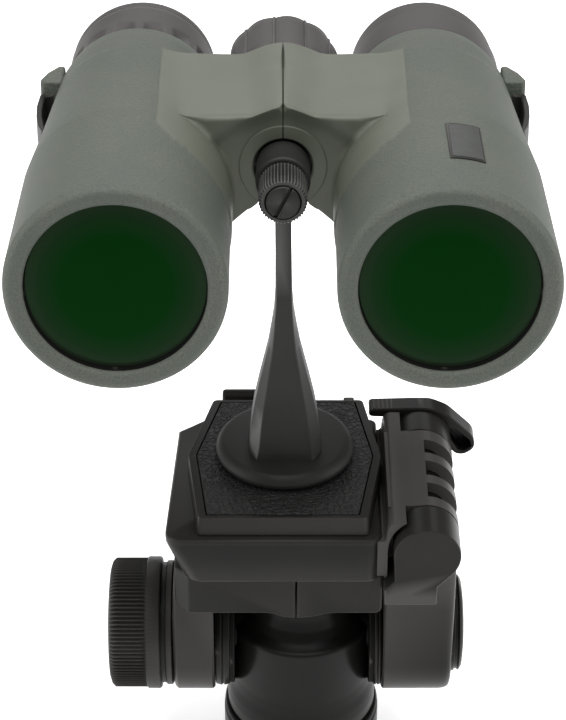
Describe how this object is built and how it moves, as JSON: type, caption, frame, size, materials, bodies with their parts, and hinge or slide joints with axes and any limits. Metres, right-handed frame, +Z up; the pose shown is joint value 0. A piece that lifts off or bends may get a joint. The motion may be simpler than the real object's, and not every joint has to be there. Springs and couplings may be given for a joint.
{
  "type": "binoculars on a tripod head",
  "caption": "Green rubber-armoured roof-prism binoculars on an L-shaped tripod adapter and a pan and tilt head.",
  "frame": {"origin": "centre of the underside of the head's base, on the pan axis", "axes": "+Z up, -Y the way that the binoculars look, +X the side of the user's left eye"},
  "size_m": [0.1312, 0.1458, 0.2142],
  "materials": {
    "armour_rubber": "finely pebbled matt green rubber armour",
    "bridge_rubber": "smooth satin green rubber",
    "grip_rubber": "matt warm grey rubber",
    "cast_housing": "black painted light alloy casting",
    "black_anodised": "black anodised",
    "coated_glass": "dark green coated glass",
    "lug_plastic": "black moulded plastic",
    "badge_plate": "blank dark plate",
    "steel": "turned steel",
    "adapter_metal": "charcoal painted alloy",
    "head_plastic": "satin black moulded plastic",
    "pad_rubber": "leather-textured black rubber",
    "friction_plastic": "low friction black plastic"
  },
  "bodies": {
    "base": {"pan_base": "head_plastic", "pan_bolt": "steel"},
    "pan_core": {"core": "head_plastic", "left_friction_disc": "friction_plastic", "right_friction_disc": "friction_plastic"},
    "yoke": {"yoke_left": "head_plastic", "yoke_right": "head_plastic", "tilt_axle": "steel", "tilt_cap": "head_plastic", "flip_pin": "steel"},
    "lock_knob": {"tilt_knob": "head_plastic"},
    "platform_body": {"platform": "head_plastic", "qr_plate": "head_plastic", "qr_pad": "pad_rubber", "plate_screw": "steel", "adapter_post": "adapter_metal", "hinge_axle": "steel"},
    "lock_lever": {"flip_lever": "head_plastic"},
    "release_catch": {"qr_catch": "head_plastic"},
    "clamp_screw": {"adapter_knob": "adapter_metal", "adapter_screw": "adapter_metal"},
    "focus_control": {"focus_wheel": "grip_rubber", "focus_wheel_cap": "grip_rubber"},
    "focus_rod": {"focus_screw": "steel"},
    "diopter_control": {"diopter_ring": "grip_rubber"},
    "left_barrel": {"left_armour": "armour_rubber", "left_bridge": "bridge_rubber", "left_housing": "cast_housing", "left_objective_cell": "black_anodised", "left_objective_lens": "coated_glass", "left_prism_cage": "cast_housing", "left_prism": "coated_glass", "left_eyepiece_tube": "black_anodised", "left_eye_lens": "coated_glass", "left_strap_lug": "lug_plastic", "left_eyepiece_ring": "grip_rubber", "badge": "badge_plate"},
    "left_focus_carriage": {"left_focus_cell": "black_anodised", "left_focus_lens": "coated_glass"},
    "left_eyecup_slider": {"left_eyecup_sleeve": "black_anodised"},
    "left_eyecup_grip": {"left_eyecup": "grip_rubber"},
    "right_barrel": {"right_armour": "armour_rubber", "right_bridge": "bridge_rubber", "right_housing": "cast_housing", "right_objective_cell": "black_anodised", "right_objective_lens": "coated_glass", "right_prism_cage": "cast_housing", "right_prism": "coated_glass", "right_eyepiece_tube": "black_anodised", "right_eye_lens": "coated_glass", "right_strap_lug": "lug_plastic"},
    "right_focus_carriage": {"right_focus_cell": "black_anodised", "right_focus_lens": "coated_glass"},
    "right_eyecup_slider": {"right_eyecup_sleeve": "black_anodised"},
    "right_eyecup_grip": {"right_eyecup": "grip_rubber"}
  },
  "joints": [
    {"name": "pan", "type": "hinge", "parent": "base", "child": "pan_core", "pos_m": [0, 0, 0.018], "axis": [0, 0, 1], "continuous": true},
    {"name": "tilt", "type": "hinge", "parent": "pan_core", "child": "yoke", "pos_m": [0, 0, 0.0451], "axis": [1, 0, 0], "range_deg": [-60, 30]},
    {"name": "tilt_lock", "type": "hinge", "parent": "yoke", "child": "lock_knob", "pos_m": [-0.0462, 0, 0.0451], "axis": [1, 0, 0], "range_deg": [-180, 180]},
    {"name": "flip", "type": "hinge", "parent": "yoke", "child": "platform_body", "pos_m": [0.0326, 0, 0.092], "axis": [0, 1, 0], "range_deg": [0, 90]},
    {"name": "flip_lock", "type": "hinge", "parent": "platform_body", "child": "lock_lever", "pos_m": [0.0326, 0.027, 0.092], "axis": [0, 1, 0], "range_deg": [0, 25]},
    {"name": "catch_press", "type": "hinge", "parent": "platform_body", "child": "release_catch", "pos_m": [-0.0167, 0.031, 0.0905], "axis": [1, 0, 0], "range_deg": [-25, 0], "stiffness_Nm_per_rad": 0.01, "springref_deg": 17.19},
    {"name": "clamp_turn", "type": "hinge", "parent": "platform_body", "child": "clamp_screw", "pos_m": [-0.0052, -0.01094, 0.19117], "axis": [0, 0.9943, -0.1063], "continuous": true},
    {"name": "fold_left", "type": "hinge", "parent": "platform_body", "child": "left_barrel", "pos_m": [-0.0052, 0.02585, 0.18724], "axis": [0, 0.9943, -0.1063], "range_deg": [0, 28]},
    {"name": "fold_right", "type": "hinge", "parent": "platform_body", "child": "right_barrel", "pos_m": [-0.0052, 0.02585, 0.18724], "axis": [0, 0.9943, -0.1063], "range_deg": [-28, 0]},
    {"name": "focus_turn", "type": "hinge", "parent": "platform_body", "child": "focus_control", "pos_m": [-0.0052, 0.06066, 0.18352], "axis": [0, 0.9943, -0.1063], "range_deg": [-200, 200]},
    {"name": "focus_rod_slide", "type": "slide", "parent": "platform_body", "child": "focus_rod", "axis": [0, 0.9943, -0.1063], "range_m": [-0.002, 0.002]},
    {"name": "diopter_turn", "type": "hinge", "parent": "right_barrel", "child": "diopter_control", "pos_m": [-0.0443, 0.07478, 0.17457], "axis": [0, 0.9943, -0.1063], "range_deg": [-35, 35]},
    {"name": "left_focus_slide", "type": "slide", "parent": "left_barrel", "child": "left_focus_carriage", "axis": [0, 0.9943, -0.1063], "range_m": [-0.002, 0.002]},
    {"name": "left_eyecup_slide", "type": "slide", "parent": "left_barrel", "child": "left_eyecup_slider", "axis": [0, 0.9943, -0.1063], "range_m": [0, 0.008]},
    {"name": "left_eyecup_turn", "type": "hinge", "parent": "left_eyecup_slider", "child": "left_eyecup_grip", "pos_m": [0.0339, 0.08572, 0.1734], "axis": [0, 0.9943, -0.1063], "range_deg": [0, 120]},
    {"name": "right_focus_slide", "type": "slide", "parent": "right_barrel", "child": "right_focus_carriage", "axis": [0, 0.9943, -0.1063], "range_m": [-0.002, 0.002]},
    {"name": "right_eyecup_slide", "type": "slide", "parent": "right_barrel", "child": "right_eyecup_slider", "axis": [0, 0.9943, -0.1063], "range_m": [0, 0.008]},
    {"name": "right_eyecup_turn", "type": "hinge", "parent": "right_eyecup_slider", "child": "right_eyecup_grip", "pos_m": [-0.0443, 0.08572, 0.1734], "axis": [0, 0.9943, -0.1063], "range_deg": [0, 120]}
  ],
  "couplings": [
    {"joint": "fold_right", "follows": "fold_left", "ratio": -1},
    {"joint": "focus_rod_slide", "follows": "focus_turn", "m_per_rad": 0.00057239},
    {"joint": "left_focus_slide", "follows": "focus_turn", "m_per_rad": 0.00057239},
    {"joint": "left_eyecup_turn", "follows": "left_eyecup_slide", "rad_per_m": 261.54},
    {"joint": "right_focus_slide", "follows": "focus_turn", "m_per_rad": 0.00057239},
    {"joint": "right_eyecup_turn", "follows": "right_eyecup_slide", "rad_per_m": 261.54}
  ]
}
